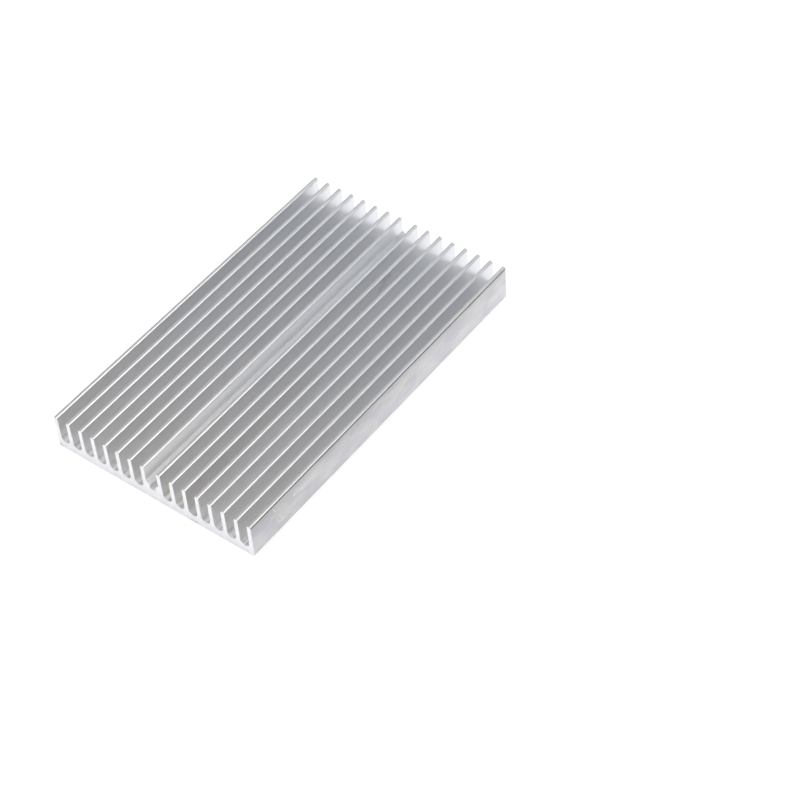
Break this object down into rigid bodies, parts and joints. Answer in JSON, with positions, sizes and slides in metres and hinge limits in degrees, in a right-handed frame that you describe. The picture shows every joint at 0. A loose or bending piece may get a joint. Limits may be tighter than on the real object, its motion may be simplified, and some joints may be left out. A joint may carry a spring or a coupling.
{
  "type": "heat sink",
  "caption": "Flat extruded aluminium heat sink: a base plate with straight cooling fins and a wider stepped channel down the middle for a clip or screws.",
  "frame": {"origin": "middle of the underside, which is the flat mounting face", "axes": "+X across the fins, +Y along the extrusion, +Z from the underside to the fin tips"},
  "size_m": [0.06, 0.1, 0.01],
  "materials": {
    "aluminium": "bare extruded aluminium, satin with fine die lines along the length, and bright saw-cut ends"
  },
  "bodies": {
    "root": {"heat_sink": "aluminium"}
  },
  "joints": []
}
